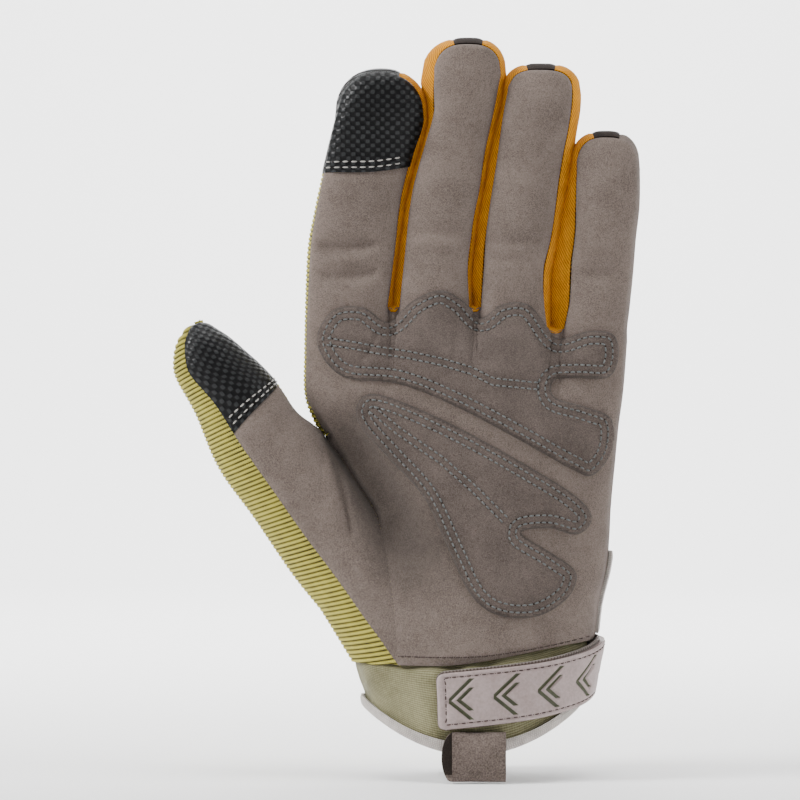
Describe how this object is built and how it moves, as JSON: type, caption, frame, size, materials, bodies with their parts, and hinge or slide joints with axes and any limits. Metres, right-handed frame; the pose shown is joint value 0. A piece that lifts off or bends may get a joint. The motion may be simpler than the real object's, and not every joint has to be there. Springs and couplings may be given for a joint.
{
  "type": "work glove",
  "caption": "Full-finger work glove for the left hand in its worn form: suede palm with sewn-on pads, rib-knit back, ochre finger sides, touch caps and a wrist strap.",
  "frame": {"origin": "middle of the wrist opening, level with the lowest point of the hem at the front", "axes": "+Z along the hand towards the fingertips, -Y the way the palm faces, -X the thumb side"},
  "size_m": [0.1581, 0.0592, 0.2494],
  "materials": {
    "suede": "matte napped synthetic suede, grey-brown",
    "pad_suede": "matte napped synthetic suede, grey-brown",
    "tab_suede": "matte dark grey-brown suede",
    "rib_knit": "olive rib knit, matte",
    "ochre_twill": "ochre stretch twill, matte",
    "touch_leather": "black embossed synthetic leather, satin",
    "cuff_fabric": "olive fine-ribbed stretch fabric",
    "binding_tape": "pale grey woven tape",
    "strap_rubber": "matte lilac-grey moulded rubber",
    "strap_webbing": "grey-brown woven backing",
    "loop_suede": "matte grey-brown suede"
  },
  "bodies": {
    "root": {"palm_panel": "suede", "back_panel": "rib_knit", "fourchette_index_middle": "ochre_twill", "fourchette_middle_ring": "ochre_twill", "fourchette_ring_little": "ochre_twill", "tab_middle": "tab_suede", "tab_ring": "tab_suede", "tab_little": "tab_suede", "index_cap": "touch_leather", "thumb_cap": "touch_leather", "thumb_panel": "suede", "thumb_knit": "rib_knit", "upper_palm_pad": "pad_suede", "lower_palm_pad": "pad_suede", "cuff": "cuff_fabric", "hem_binding": "binding_tape", "vent_binding": "binding_tape", "strap_backing": "strap_webbing", "wrist_strap": "strap_rubber", "pull_loop": "loop_suede"}
  },
  "joints": []
}
